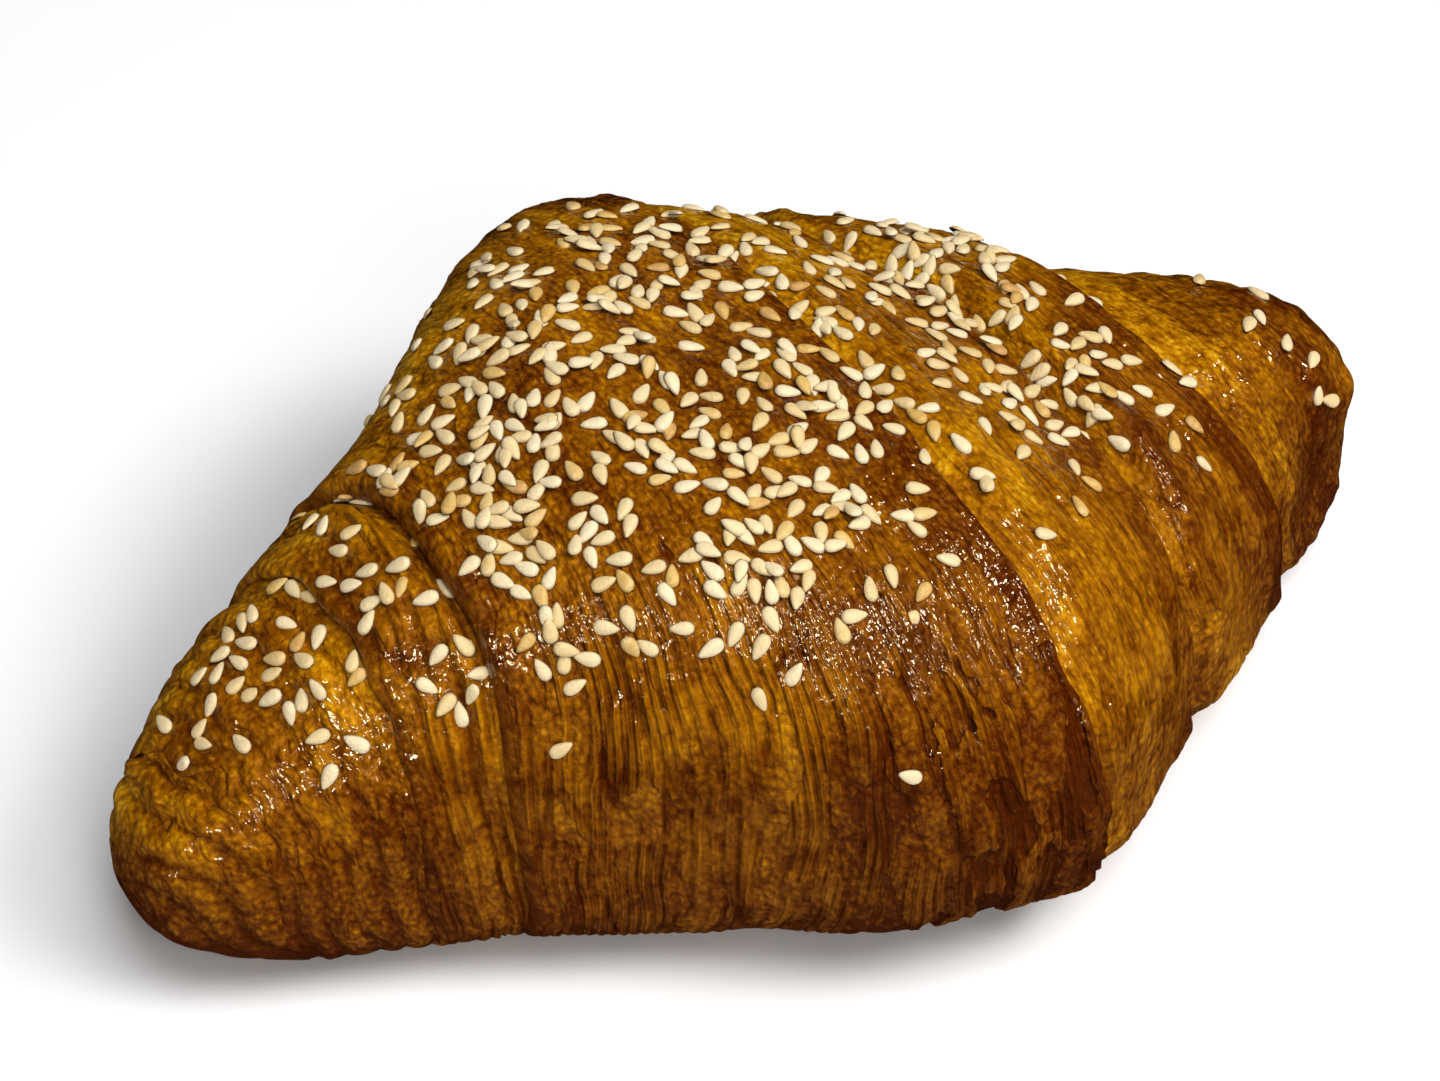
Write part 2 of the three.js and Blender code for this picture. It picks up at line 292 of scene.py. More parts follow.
# Name, direction, distance, size, power and colour. The soft lamps light the surface but aren't
# seen in it, and the small ones are seen only as glints in the glaze.
WARM = (1, 0.96, 0.9)
SOFT_LAMPS = [
    ("softbox", (0.05, -0.35, 0.94), 1.5, 1.1, 14.5, (1, 1, 1)),
    ("key_front", (0.34, -0.55, 0.77), 1.2, 0.35, 3.0, (1, 0.98, 0.95)),
    ("fill_left", (-0.19, -0.76, 0.62), 1.2, 0.4, 4.0, WARM),
    ("fill_right", (0.50, -0.36, 0.75), 1.2, 0.45, 5.0, WARM),
]
GOLD = (1, 0.8, 0.52)
GLINT_LAMPS = [
    ("glint_low_left", (-0.87, -0.32, 0.34), 1.2, 0.13, 5.5, GOLD),
    ("glint_far_left", (-0.55, -0.58, 0.60), 1.2, 0.12, 5.0, GOLD),
    ("glint_left", (-0.19, -0.76, 0.62), 1.2, 0.12, 4.5, GOLD),
    ("glint_top", (-0.02, -0.40, 0.91), 1.2, 0.12, 3.8, GOLD),
    ("glint_front", (0.34, -0.57, 0.75), 1.2, 0.12, 4.5, GOLD),
    ("glint_right", (0.60, -0.13, 0.79), 1.2, 0.12, 4.5, GOLD),
]


# ---- Numbers ----


class Noise:
    """Smooth random values between about -1 and 1 over space."""

    def __init__(self, seed):
        source = np.random.default_rng(seed)
        self.order = source.permutation(256)
        slopes = source.normal(size=(256, 3))
        self.slopes = slopes / np.linalg.norm(slopes, axis=1, keepdims=True)

    def __call__(self, x, y, z):
        point = np.stack(np.broadcast_arrays(x, y, z), -1)
        cell = np.floor(point).astype(int)
        inside = point - cell
        blend = inside**3 * (inside * (inside * 6 - 15) + 10)
        total = 0
        for corner in np.ndindex(2, 2, 2):
            a, b, c = np.moveaxis(cell + corner, -1, 0)
            index = self.order[(self.order[(self.order[a % 256] + b) % 256] + c) % 256]
            weight = np.prod(np.where(corner, blend, 1 - blend), -1)
            total = total + weight * np.sum(self.slopes[index] * (inside - corner), -1)
        return total * 1.7


def smooth_step(low, high, x):
    t = np.clip((x - low) / (high - low), 0, 1)
    return t * t * (3 - 2 * t)


def signed_power(x, power):
    return np.sign(x) * np.abs(x) ** power


def unit(vectors):
    return vectors / np.maximum(np.linalg.norm(vectors, axis=-1, keepdims=True), 1e-9)


def profile(x, *knots):
    """Straight lines through the knots (x, value)."""
    return np.interp(x, [k[0] for k in knots], [k[1] for k in knots])


# ---- Crust shape ----


def reach_at(reach, place):
    before = place < reach["at"]
    tip = np.where(before, reach["blunt"], reach["slim"])
    spread = np.where(before, reach["before"], reach["after"])
    return tip + (reach["belly"] - tip) * np.exp(-(((place - reach["at"]) / spread) ** 2))


def edge_place(edge, angle):
    sides = (edge["front"] + edge["back"]) / 2
    poles = (edge["top"] + edge["under"]) / 2
    return (
        (sides + poles) / 2
        + (edge["front"] - edge["back"]) / 2 * np.cos(angle)
        + (edge["top"] - edge["under"]) / 2 * np.sin(angle)
        + (sides - poles) / 2 * np.cos(2 * angle)
    )


def crust_point(place, angle, rise):
    """The crust's surface at a place and an angle, standing proud by rise."""
    tip_power = np.where(place < 0, BLUNT_TIP_POWER, SLIM_TIP_POWER)
    cap = np.sqrt(1 - np.minimum(np.abs(place), 1) ** tip_power)
    lean = np.where(place < 0, -BLUNT_TIP_LEAN, SLIM_TIP_LEAN) * place**2
    across, up = np.cos(angle), np.sin(angle)
    height = reach_at(TOP_REACH, place)
    waist = WAIST_LEVEL * height
    side = np.where(across > 0, reach_at(FRONT_REACH, place), reach_at(BACK_REACH, place))
    wave = sum(h * np.sin(a * place + r * angle + p) for h, a, r, p in CRUST_WAVES)
    proud = (rise + wave) * smooth_step(*WRAP_FADE, up) - WRAP_INSET
    power = 2 / np.where(up >= 0, UPPER_SQUARENESS, LOWER_SQUARENESS)
    lift = np.where(up >= 0, height - waist + proud, waist)
    y = lean - cap * (side + proud) * signed_power(across, power)
    z = waist + cap * lift * signed_power(up, power) - TRAY_SAG
    return np.stack([HALF_LENGTH * place, y, np.maximum(z, 0)], -1)


def section_angles():
    """Angles round the section that stand evenly along it, and wider apart underneath."""
    fine = np.linspace(-math.pi / 2, 3 * math.pi / 2, 4001)
    outline = crust_point(np.full_like(fine, FRONT_REACH["at"]), fine, 0)
    steps = np.linalg.norm(np.diff(outline, axis=0), axis=1)
    under = (outline[1:, 2] < 1) & (outline[:-1, 2] < 1)
    under_weight = UNDER_ROWS / steps[under].sum()
    upper_weight = UPPER_ROWS / steps[~under].sum()
    run = np.concatenate([[0], np.cumsum(steps * np.where(under, under_weight, upper_weight))])
    rows = UPPER_ROWS + UNDER_ROWS
    return np.interp(np.arange(rows) / rows * run[-1], run, fine)


def band_columns(band):
    """A band's columns from -X to +X as (share of the band, push past an edge, share of its rise).

    The push is in millimetres along the way the edge faces, or None away from the free edges.
    """
    count = BAND_COLUMNS[band]
    if band in (0, LAST_BAND):
        even = np.linspace(0, 1, count, endpoint=False)
        plain = [(1 - (1 - t) ** 2, None, 1) for t in even]
    else:
        plain = [(t, None, 1) for t in np.linspace(0, 1, count)]
    turns = np.linspace(math.pi / 2, -math.pi / 2, NOSE_COLUMNS + 2)[1:-1]
    nose = [(1, NOSE_REACH * math.cos(t) - NOSE_BACK, (1 + math.sin(t)) / 2) for t in turns]
    if band == MIDDLE_BAND:
        return [(0, push, lift) for _, push, lift in reversed(nose)] + plain + nose
    columns = plain if band in (0, LAST_BAND) else plain + nose
    if band > MIDDLE_BAND:
        return columns
    return [(1 - share, push, lift) for share, push, lift in reversed(columns)]


def band_rise(band, share, angle):
    """How far a band stands proud at a share of its width along +X, before its nose."""
    rise = BAND_RISE[band]
    if band == MIDDLE_BAND:
        return np.full_like(angle, rise)
    covered = 1 - share if band < MIDDLE_BAND else share
    tucked = smooth_step(0, BAND_CLIMB, covered)
    if band < MIDDLE_BAND:
        filled = FRONT_FILL * smooth_step(*FRONT_FILL_ANGLES, np.cos(angle))
        tucked = tucked + (1 - tucked) * filled
    return np.full_like(angle, rise * (1 - BAND_DROOP * covered)) * tucked


def wrap_edges(angle):
    """Each free edge's place at each angle, a little uneven as dough is."""
    wobble = Noise(3)
    circle = EDGE_WOBBLE_TURNS * np.cos(angle), EDGE_WOBBLE_TURNS * np.sin(angle)
    return [
        edge_place(edge, angle) + EDGE_WOBBLE / HALF_LENGTH * wobble(7.7 * i, *circle)
        for i, edge in enumerate(WRAP_EDGES)
    ]


def crust_layout():
    """The crust's smooth surface as a grid of columns along X and rows round the section."""
    angle = section_angles()
    edges = wrap_edges(angle)
    faces = [edge["faces"] for edge in WRAP_EDGES]
    back = [-face * NOSE_BACK / HALF_LENGTH for face in faces]
    mean = [-1] + [float(np.mean(edge)) for edge in edges] + [1]
    columns = []
    for band in range(LAST_BAND + 1):
        low = np.full_like(angle, -1) if band == 0 else edges[band - 1] + back[band - 1]
        high = np.full_like(angle, 1) if band == LAST_BAND else edges[band] + back[band]
        for share, push, lift in band_columns(band):
            if push is None:
                place = low + (high - low) * share
            else:
                edge = band - 1 if share == 0 else band
                place = edges[edge] + faces[edge] * push / HALF_LENGTH
            rise = lift * band_rise(band, share, angle)
            wrap = HALF_LENGTH * (mean[band] + (mean[band + 1] - mean[band]) * share)
            columns.append((place, rise, band, share, wrap, lift))
    place, rise, band, share, wrap, lift = zip(*columns)
    grid = SimpleNamespace(angle=angle, place=np.array(place), rise=np.array(rise))
    grid.band, grid.share, grid.lift = (np.array(c)[:, None] for c in (band, share, lift))
    grid.wrap = np.array(wrap)[:, None] + np.zeros_like(angle)
    grid.base = crust_point(grid.place, angle, grid.rise)
    grid.outward = outward_normals(grid)
    return grid


def outward_normals(grid):
    place, angle, rise = grid.place, grid.angle, grid.rise
    step = 1e-4
    ahead = crust_point(np.clip(place + step, -1, 1), angle, rise)
    behind = crust_point(np.clip(place - step, -1, 1), angle, rise)
    turn = crust_point(place, angle + step, rise) - crust_point(place, angle - step, rise)
    outward = unit(np.cross(ahead - behind, turn))
    centre = grid.base * [1, 0, 0] + [0, 0, WAIST_LEVEL * MEAN_HEIGHT]
    flip = np.sign(np.sum((grid.base - centre) * outward, -1, keepdims=True))
    return outward * np.where(flip == 0, 1, flip)


# ---- Crust detail ----


def dome(grid, place, angle, along, turn):
    """A soft spot on the crust round a place and an angle, spread along X and round the section."""
    off = (grid.degrees - angle + 180) % 360 - 180
    return np.exp(-(((grid.place - place) / along) ** 2) - (off / turn) ** 2)


def add_positions(grid):
    """Adds where each point lies on the croissant and on its band."""
    grid.x, grid.y, grid.z = np.moveaxis(grid.base, -1, 0)
    grid.degrees = np.degrees(grid.angle)[None, :]
    grid.middle, grid.last = grid.band == MIDDLE_BAND, grid.band == LAST_BAND
    grid.covered = np.where(grid.band < MIDDLE_BAND, 1 - grid.share, grid.share) + 0 * grid.wrap
    grid.underside = grid.z < UNDERSIDE_LEVEL


def spots(grid, seed, size):
    """Noise in spots of one size, in millimetres."""
    return Noise(seed)(grid.x / size, grid.y / size, grid.z / size)


def strands(grid, seed, width, length, across=None):
    """Noise drawn out along the wraps."""
    across = grid.wrap if across is None else across
    return Noise(seed)(across / width, grid.y / length, grid.z / length)


def add_layers(grid):
    """Adds the ridges of the layers, and how flaky, smooth or peeling each part is."""
    q, degrees = grid.wrap, grid.degrees
    off_top = smooth_step(12, 48, np.abs(degrees - 88))
    bare_top = np.where(grid.middle, 0.12 + 0.88 * off_top, np.where(grid.last, 0.4 + 0.6 * off_top, 1))
    flaky = np.choose(grid.band, FLAKINESS) * bare_top

    # Patches where a smooth film of dough covers the layers.
    grid.film_edge = strands(grid, 5, 4.5, 17) + 0.12 * spots(grid, 6, 2.4) - 0.31
    grid.film = smooth_step(-0.05, 0.05, grid.film_edge)

    # Long narrow ridges with thin gaps between them, all along the wraps.
    lean = np.where((grid.band == 0) | grid.last, LAYER_LEAN * np.sin(grid.angle), 0)
    warp = 1.9 * strands(grid, 11, 15, 34) + 0.4 * strands(grid, 12, 4, 11)
    width = np.choose(grid.band, LAYER_WIDTH)
    grid.ridge_count = (q + lean + warp) / width
    thread_warp = 1.4 * warp + 0.25 * strands(grid, 21, 3, 14)
    grid.thread_count = (q + lean + thread_warp) / width * THREADS_PER_LAYER
    grid.ridge = np.abs(np.sin(math.pi * grid.ridge_count)) ** 0.8
    grid.flaky = flaky * np.clip(0.75 + 0.85 * strands(grid, 13, 3.5, 15), 0.2, 1)
    grid.fold = smooth_step(0, 0.07, np.abs(strands(grid, 15, 8, 34, q + 1.5 * warp)))

    # Torn plates on the lower front, next to the middle band's free edge.
    grid.plate = strands(grid, 16, 4.2, 11) + 0.35 * spots(grid, 17, 1.7)
    peel = grid.middle * smooth_step(0.5, 0.75, grid.share) * smooth_step(52, 24, degrees)
    grid.peel = np.clip(peel + 0.2 * grid.flaky, 0, 1) * (1 - grid.film)


def add_glaze(grid):
    """Adds the egg wash, which is thickest in pools on the upper slopes."""
    glaze = smooth_step(-0.1, 0.3, spots(grid, 41, 9) + 0.5 * spots(grid, 42, 3))
    back = smooth_step(180, 150, grid.degrees)
    glaze = glaze * smooth_step(-12, 18, grid.degrees) * back * (1 - grid.film)
    for *spot, amount in GLAZE_POOLS:
        glaze = np.maximum(glaze, amount * dome(grid, *spot))
    grid.glaze = glaze
    thin = 0.3 * smooth_step(-15, 40, grid.degrees) * back
    strip = (grid.band > MIDDLE_BAND) & (grid.covered < 0.16)
    coat = np.maximum(glaze, thin) * np.where(strip, 0.5, 1)
    grid.coat = np.where(grid.underside, 0, coat)


def add_relief(grid):
    """Adds the relief in millimetres, and the points that it moves."""
    flaky, ridge, glaze = grid.flaky, grid.ridge, grid.glaze
    blister = np.maximum(spots(grid, 18, 6) - 0.3, 0)
    swell = 0.7 * spots(grid, 19, 24) + 0.4 * spots(grid, 20, 9)
    grit = spots(grid, 22, 2.6)
    relief = swell + 1.4 * blister * (1 - 0.6 * flaky) + 0.16 * grit * (0.4 + glaze)
    layers = 0.38 * (ridge - 0.6) + 0.7 * (grid.fold - 1)
    relief = relief + flaky * (1 - 0.8 * grid.film) * layers
    relief = relief + 0.9 * np.choose(grid.band, LUMPINESS) * (ridge - 0.6)
    relief = relief + 0.9 * grid.peel * (smooth_step(-0.06, 0.06, grid.plate) - 0.5)
    for *spot, height in CRUST_BUMPS:
        relief = relief + height * dome(grid, *spot)
    pole = smooth_step(1, 0.96, np.abs(grid.place))
    upper = smooth_step(-1.1, -0.5, np.sin(grid.angle) - (grid.z < 0.05))
    relief = relief * grid.lift * upper * pole * ~grid.underside
    grid.points = grid.base + grid.outward * relief[..., None]
    grid.points[..., 2] = np.maximum(grid.points[..., 2], 0)


def add_tone(grid):
    """Adds the tone: 0 is the red brown of gaps and noses, 1 the pale gold of stretched dough. It also
    holds painted shade in the sunken gaps and low on the sides.
    """
    degrees = grid.degrees
    tone = np.choose(grid.band, [profile(grid.covered, *knots) for knots in BAND_TONES])
    top = smooth_step(58, 75, degrees) * smooth_step(135, 115, degrees)
    tone = np.where(grid.middle, tone + (MIDDLE_TOP_TONE - tone) * 0.6 * top, tone)
    tone = tone + 0.13 * spots(grid, 31, 14) + 0.10 * spots(grid, 32, 4)
    tone = tone + 0.12 * strands(grid, 34, 3.2, 22)
    # The sunken folds and the gaps between lumps are darker: partly the dough's red brown there, partly
    # painted shade.
    tone = tone - 0.1 * grid.glaze - 0.26 * grid.flaky * (1 - grid.fold)
    tone = tone - 0.28 * np.choose(grid.band, LUMPINESS) * (1 - grid.ridge) ** 3
    # Painted shade: darker low on both sides, where less light from above falls.
    tone = tone - 0.3 * smooth_step(0.5, -0.4, np.sin(grid.angle))
    tone = tone + 0.17 * smooth_step(92, 118, degrees) * smooth_step(200, 150, degrees)
    for *spot, change in TONE_AND_SHADE_PATCHES:
        tone = tone + change * dome(grid, *spot)
    tone = tone * (1 - NOSE_TONES[grid.band] * (1 - grid.lift))
    grid.tone = np.where(grid.underside, UNDERSIDE_TONE + 0.1 * spots(grid, 33, 9), tone)


def move_to_frame(grid):
    """Shifts the grid so that the plain crust's box is centred as the frame's body is."""
    plain = crust_point(grid.place, grid.angle, grid.rise)
    middle = (plain.min((0, 1)) + plain.max((0, 1))) / 2
    grid.shift = ((BODY_LOW + BODY_HIGH) / 2 - middle) * [1, 1, 0]
    grid.points = grid.points + grid.shift


# ---- Meshes ----


def new_piece(name, points, faces, material, attributes):
    """A smooth-shaded mesh object from points in millimetres, riding on the one body."""
    mesh = bpy.data.meshes.new(name)
    mesh.from_pydata((np.asarray(points) * MM).tolist(), [], faces)
    for key, values in attributes.items():
        layer = mesh.attributes.new(key, "FLOAT_VECTOR", "POINT")
        layer.data.foreach_set("vector", np.asarray(values, float).ravel())
    mesh.shade_smooth()
    mesh.materials.append(material)
    piece = bpy.data.objects.new(name, mesh)
    bpy.context.collection.objects.link(piece)
    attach(piece, "root")
    return piece


def tube_faces(columns, rows):
    """Quads between columns of a closed tube, and fans to a point past each end."""
    index = np.arange(columns * rows).reshape(columns, rows)
    beside = np.roll(index, -1, axis=1)
    quads = np.stack([index[:-1], index[1:], beside[1:], beside[:-1]], -1).reshape(-1, 4)
    first, last = columns * rows, columns * rows + 1
    faces = quads.tolist()
    faces += [[first, int(a), int(b)] for a, b in zip(index[0], beside[0])]
    faces += [[last, int(b), int(a)] for a, b in zip(index[-1], beside[-1])]
    return faces


def point_values(*fields):
    """Three fields of the grid as vectors, with the end columns' first values for the two tips."""
    values = np.stack(fields, -1).reshape(-1, 3)
    return np.concatenate([values, values[:1], values[-1:]])


def make_crust(grid, material):
    poles = np.array([crust_point(np.float64(p), 0.0, 0.0) for p in (-1, 1)]) + grid.shift
    points = np.concatenate([grid.points.reshape(-1, 3), poles])
    shown = ~grid.underside
    unused = np.zeros_like(grid.tone)
    attributes = {
        "finish": point_values(grid.tone, grid.coat, grid.flaky * shown),
        "wrap": point_values(grid.wrap, grid.points[..., 1], grid.points[..., 2]),
        "layers": point_values(grid.ridge_count, grid.thread_count, grid.plate),
        "film": point_values(grid.peel * shown, grid.film_edge, unused),
    }
    piece = new_piece("crust", points, tube_faces(*grid.place.shape), material, attributes)
    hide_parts(BODY)


# ---- Seeds ----


def seed_shape():
    """A sesame seed: a flat drop, round at +X and pointed at -X, in a thin rim of glaze whose dark
    colour is partly browned glaze and partly painted contact shadow.
    """
    t = np.linspace(0, math.pi, SEED_RINGS + 2)[1:-1]
    x = np.cos(t) / 2
    width = np.sin(t) ** 0.95 * (1 + 0.36 * np.cos(t)) / 2 * 0.96
    turn = (np.arange(SEED_SIDES) + 0.5) / SEED_SIDES * 2 * math.pi
    across = width[:, None] * signed_power(np.cos(turn), 0.9)
    up = signed_power(np.sin(turn), 1.1)
    height = width[:, None] ** 0.7 * up * 0.84
    body = np.stack(np.broadcast_arrays(x[:, None], across, height), -1)
    foot = up < -0.5
    rim = (GLAZE_RIM, GLAZE_RIM * 1.2, 0)
    body = body * (1 + np.array(rim) / (SEED_LENGTH / 2, SEED_WIDTH / 2, 1) * foot[:, None])
    foot_level = -0.5 + (SEED_SINK + GLAZE_RIM_HEIGHT) / SEED_THICKNESS
    body[..., 2] = np.where(foot, foot_level, body[..., 2])
    points = np.concatenate([body.reshape(-1, 3), [[0.5, 0, 0], [-0.52, 0, 0]]])
    points = points * [SEED_LENGTH, SEED_WIDTH, SEED_THICKNESS]
    return points, tube_faces(SEED_RINGS, SEED_SIDES)


def crust_spot(grid, place, angle):
    """The grid's column and row nearest to a place and an angle, off the noses."""
    row = int(np.argmin(np.abs(grid.angle - angle)))
    column = int(np.argmin(np.abs(grid.place[:, row] - place) + (grid.lift[:, 0] < 1)))
    return column, row


def spot_frame(grid, column, row):
    """The crust's point at a column and a row, and its broad normal there."""
    columns, rows = grid.place.shape
    low, high = max(column - 3, 0), min(column + 3, columns - 1)
    along = grid.points[high, row] - grid.points[low, row]
    turn = grid.points[column, (row + 1) % rows] - grid.points[column, row - 1]
    normal = unit(np.cross(along, turn))
    if normal @ grid.outward[column, row] < 0:
        normal = -normal
    return grid.points[column, row], normal


def make_seed(point, normal, heading, size, lift, tilt):
    """A seed lying at a point: its centre, and its length, width and thickness directions."""
    ahead = unit(heading - normal * (heading @ normal))
    side = np.cross(normal, ahead)
    ahead = unit(ahead + normal * tilt)
    up = np.cross(ahead, side)
    centre = point + normal * (SEED_THICKNESS * size / 2 - SEED_SINK + lift)
    return SimpleNamespace(centre=centre, axes=np.array([ahead, side, up]), size=size)


def seed_radius(seed, direction):
    """How far a lying seed reaches from its centre along a direction."""
    along = abs(direction @ seed.axes[0]) / (SEED_LENGTH / 2)
    across = abs(direction @ seed.axes[1]) / (SEED_WIDTH / 2)
    return seed.size / max(math.hypot(along, across), 1e-6)


def overlap(seed, others):
    """The deepest share by which a seed runs into its neighbours, and how many it touches."""
    worst, touching = 0, 0
    for other in others:
        offset = other.centre - seed.centre
        distance = np.linalg.norm(offset)
        if distance > SEED_LENGTH * 1.1:
            continue
        direction = offset / max(distance, 1e-6)
        room = seed_radius(seed, direction) + seed_radius(other, direction)
        if distance < room:
            touching += 1
            worst = max(worst, 1 - distance / room)
    return worst, touching


def frame_seed(grid, node):
    """A fine seed where the frame has this seed, laid on the fine crust."""
    corners = np.array([v.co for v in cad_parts[node].data.vertices]) / MM
    centre = corners.mean(0)
    _, _, directions = np.linalg.svd(corners - centre)
    distance = np.linalg.norm(grid.points - centre, axis=-1)
    column, row = np.unravel_index(np.argmin(distance), distance.shape)
    point, normal = spot_frame(grid, column, row)
    point = centre + normal * ((point - centre) @ normal)
    return make_seed(point, normal, directions[0], 1, 0, 0)


def scattered_seeds(grid, seeds):
    """Seeds that fell in patches, beside and on the ones that are there. Returns the new ones."""
    source = np.random.default_rng(29)
    clumps = Noise(30)
    made = []
    for place, angle, along, turn, count in SEED_PATCHES:
        left, tries = count, 0
        while left > 0 and tries < count * TRIES_PER_SEED:
            tries += 1
            spot = place + along * source.normal(), math.radians(angle + turn * source.normal())
            jitter = source.normal(size=3) * SEED_JITTER
            heading, size, pile = source.normal(size=3), source.uniform(*SEED_SIZES), source.random()
            tilt, tint = source.normal() * SEED_TILT, source.random()
            column, row = crust_spot(grid, *spot)
            point, normal = spot_frame(grid, column, row)
            if normal[2] < STEEPEST_UP:
                continue
            if clumps(*(point / CLUMP_SIZE)) < source.uniform(*CLUMP_LEVELS):
                continue
            point = point + jitter - normal * (jitter @ normal)
            seed = make_seed(point, normal, heading, size, 0, tilt)
            near = [s for s in seeds if abs(s.centre - seed.centre).max() < SEED_LENGTH * 1.1]
            depth, touching = overlap(seed, near)
            if depth > TOUCH_DEPTH:
                piles = pile < PILE_SHARE and count > PILE_COUNT
                if not (piles and depth < PILE_DEPTH and touching < PILE_TOUCHING):
                    continue
                seed = make_seed(point, normal, heading, size, PILE_LIFT, tilt * PILE_TILT)
            seed.tint, seed.band = tint, int(grid.band[column, 0])
            seeds.append(seed)
            made.append(seed)
            left -= 1
    return made


def seed_piece(name, seeds, shape, material):
    """Seeds joined in one piece, which carries each seed's tint and each point's depth."""
    seed_points, seed_faces = shape
    points, faces, values = [], [], []
    depth = seed_points[:, 2] / SEED_THICKNESS + 0.5
    unused = np.zeros_like(depth)
    for seed in seeds:
        start = len(points) * len(seed_points)
        points.append(seed.centre + seed_points * seed.size @ seed.axes)
        faces += [[start + corner for corner in face] for face in seed_faces]
        values.append(np.stack([np.full_like(depth, seed.tint), depth, unused], -1))
    points, values = np.concatenate(points), np.concatenate(values)
    return new_piece(name, points, faces, material, {"seed": values})


def make_seeds(grid, material):
    shape = seed_shape()
    source = np.random.default_rng(17)
    nodes = sorted(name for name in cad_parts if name.startswith("sesame_seed"))
    seeds = []
    for node in nodes:
        seed = frame_seed(grid, node)
        seed.tint = source.random()
        seeds.append(seed)
        name = node.replace("sesame_seed", "sesame_grain")
        piece = seed_piece(name, [seed], shape, material)
        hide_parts(node)
    loose = scattered_seeds(grid, seeds)
    groups = {
        "sesame_scatter_blunt_side": [s for s in loose if s.band < MIDDLE_BAND],
        "sesame_scatter_middle": [s for s in loose if s.band == MIDDLE_BAND],
        "sesame_scatter_slim_side": [s for s in loose if s.band > MIDDLE_BAND],
    }
    for name, group in groups.items():
        seed_piece(name, group, shape, material)
    print("seeds", len(nodes), "and", {name: len(group) for name, group in groups.items()})


# ---- Materials ----


class Nodes:
    """A short way to write a material's node tree."""

    def __init__(self, name):
        self.material = bpy.data.materials.new(name)
        self.material.use_nodes = True
        self.tree = self.material.node_tree
        self.inputs = self.tree.nodes["Principled BSDF"].inputs

    def add(self, kind, inputs=None, **settings):
        node = self.tree.nodes.new("ShaderNode" + kind)
        for key, value in settings.items():
            setattr(node, key, value)
        for key, value in (inputs or {}).items():
            self.set(node.inputs[key], value)
        return node

    def set(self, socket, value):
        if isinstance(value, bpy.types.NodeSocket):
            self.tree.links.new(value, socket)
        else:
            socket.default_value = value

    def shade(self, **values):
        """Sets or links the shader's own sockets."""
        for name, value in values.items():
            self.set(self.inputs[name.replace("_", " ")], value)

    def math(self, operation, a, b=0.0, clamp=False):
        node = self.add("Math", {0: a, 1: b}, operation=operation, use_clamp=clamp)
        return node.outputs[0]

    def sum(self, *values):
        total = values[0]
        for value in values[1:]:
            total = self.math("ADD", total, value)
        return total

    def times(self, *values):
        total = values[0]
        for value in values[1:]:
            total = self.math("MULTIPLY", total, value)
        return total

    def minus(self, a, b, clamp=False):
        return self.math("SUBTRACT", a, b, clamp)

    def between(self, value, low, high):
        """Rises smoothly from 0 at low to 1 at high."""
        inputs = {0: value, 1: low, 2: high}
        return self.add("MapRange", inputs, interpolation_type="SMOOTHSTEP").outputs[0]

    def line(self, value, level, sharpness):
        """1 where the value is at the level, and 0 a little way off."""
        off = self.math("ABSOLUTE", self.minus(value, level))
        return self.minus(1.0, self.times(off, sharpness), True)

    def around(self, value, middle, *amounts):
        """The value's distance from its middle, times the amounts."""
        return self.times(self.minus(value, middle), *amounts)

    def waves(self, count):
        """One rounded ridge for each whole number that the count passes."""
        return self.math("ABSOLUTE", self.math("SINE", self.times(count, math.pi)))

    def attribute(self, name):
        node = self.add("Attribute", attribute_name=name, attribute_type="GEOMETRY")
        return node.outputs["Vector"]

    def object_place(self):
        return self.add("TexCoord").outputs["Object"]

    def parts(self, vector):
        return self.add("SeparateXYZ", {0: vector}).outputs

    def scaled(self, vector, *sizes):
        """The vector measured in steps of one size, or of one for each axis, in its own unit."""
        sizes = sizes if len(sizes) == 3 else sizes * 3
        return self.add("VectorMath", {0: vector, 1: sizes}, operation="DIVIDE").outputs[0]

    def noise(self, vector, detail=2.0, roughness=0.5):
        inputs = {"Vector": vector, "Scale": 1.0, "Detail": detail, "Roughness": roughness}
        return self.add("TexNoise", inputs).outputs[0]

    def cells(self, vector, smoothness):
        inputs = {"Vector": vector, "Scale": 1.0, "Smoothness": smoothness}
        return self.add("TexVoronoi", inputs, feature="SMOOTH_F1").outputs["Distance"]

    def ramp(self, value, stops):
        node = self.add("ValToRGB", {0: value})
        elements = node.color_ramp.elements
        while len(elements) < len(stops):
            elements.new(0.5)
        for element, (position, colour) in zip(elements, stops):
            element.position = position
            element.color = (*colour, 1)
        return node.outputs[0]

    def bump(self, height, distance, normal=None):
        inputs = {"Height": height, "Distance": distance, "Strength": 1.0}
        if normal is not None:
            inputs["Normal"] = normal
        return self.add("Bump", inputs).outputs[0]


